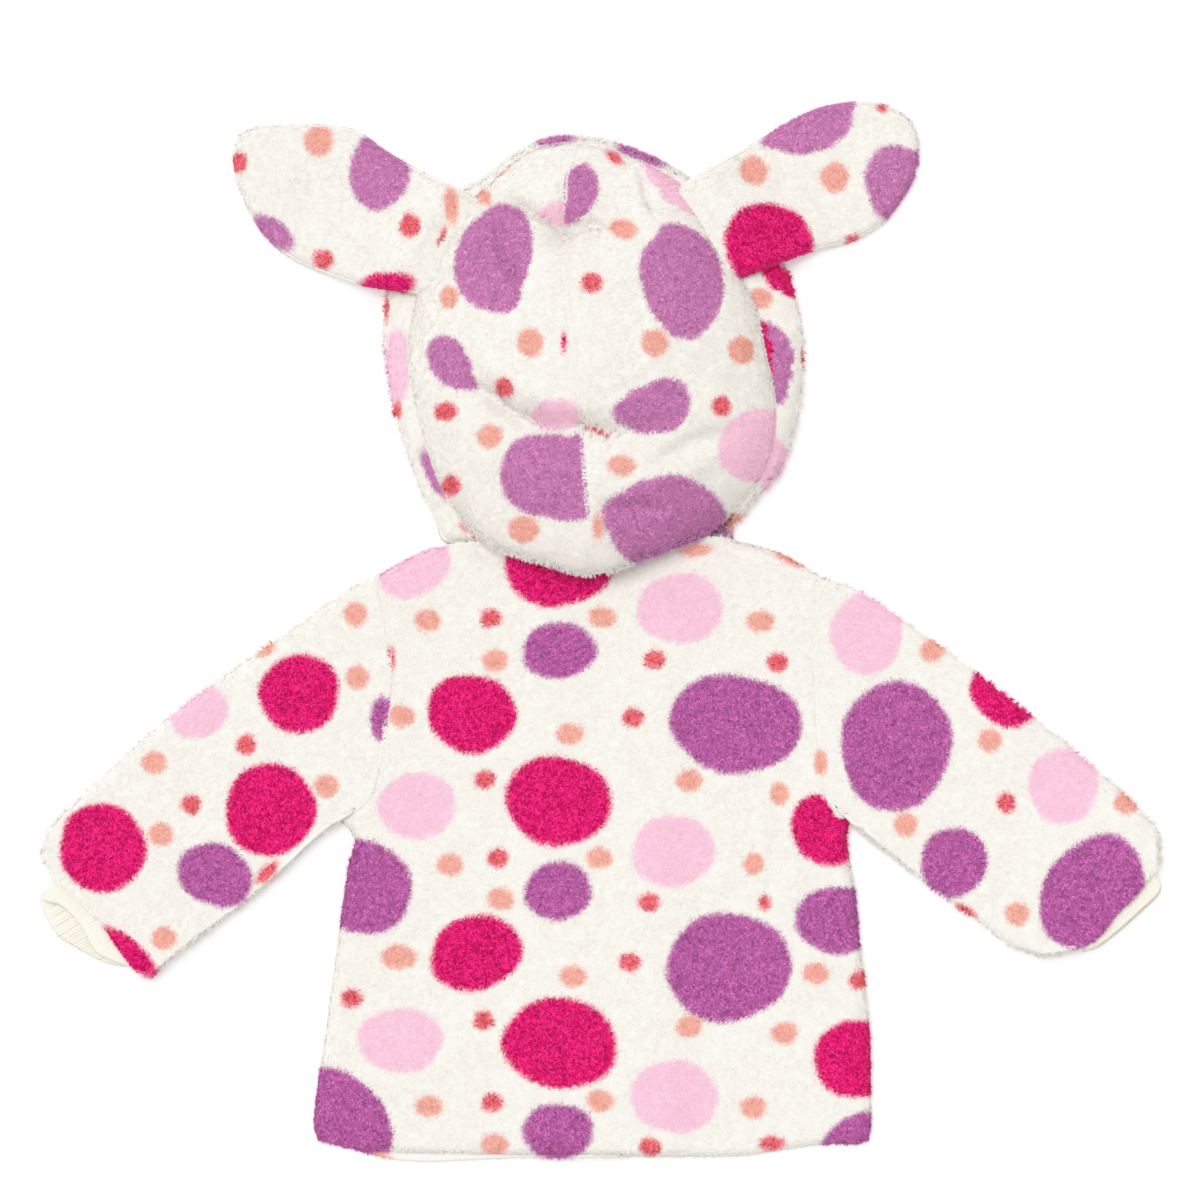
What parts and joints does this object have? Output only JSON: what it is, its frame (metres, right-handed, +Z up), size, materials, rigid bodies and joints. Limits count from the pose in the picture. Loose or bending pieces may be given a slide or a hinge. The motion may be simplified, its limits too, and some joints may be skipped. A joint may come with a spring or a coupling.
{
  "type": "fleece jacket",
  "caption": "Baby's hooded fleece jacket with round ears, dotted pile and rib cuffs, laid flat with its back up.",
  "frame": {"origin": "under the middle of the laid-out jacket, on the surface it lies on", "axes": "+Z up off the surface, +Y from the hem towards the hood, +X across from sleeve to sleeve"},
  "size_m": [0.6712, 0.6356, 0.062],
  "materials": {
    "fleece": "deep plush pile",
    "rib_knit": "fine rib knit",
    "stud_plastic": "satin"
  },
  "bodies": {
    "root": {"back": "fleece", "front_left": "fleece", "front_right": "fleece", "sleeve_left": "fleece", "sleeve_right": "fleece", "hood_left": "fleece", "hood_right": "fleece", "hood_band": "fleece", "ear_left_back": "fleece", "ear_left_front": "fleece", "ear_right_back": "fleece", "ear_right_front": "fleece", "cuff_left": "rib_knit", "cuff_right": "rib_knit", "stud_1": "stud_plastic", "stud_2": "stud_plastic", "stud_3": "stud_plastic", "stud_4": "stud_plastic"}
  },
  "joints": []
}
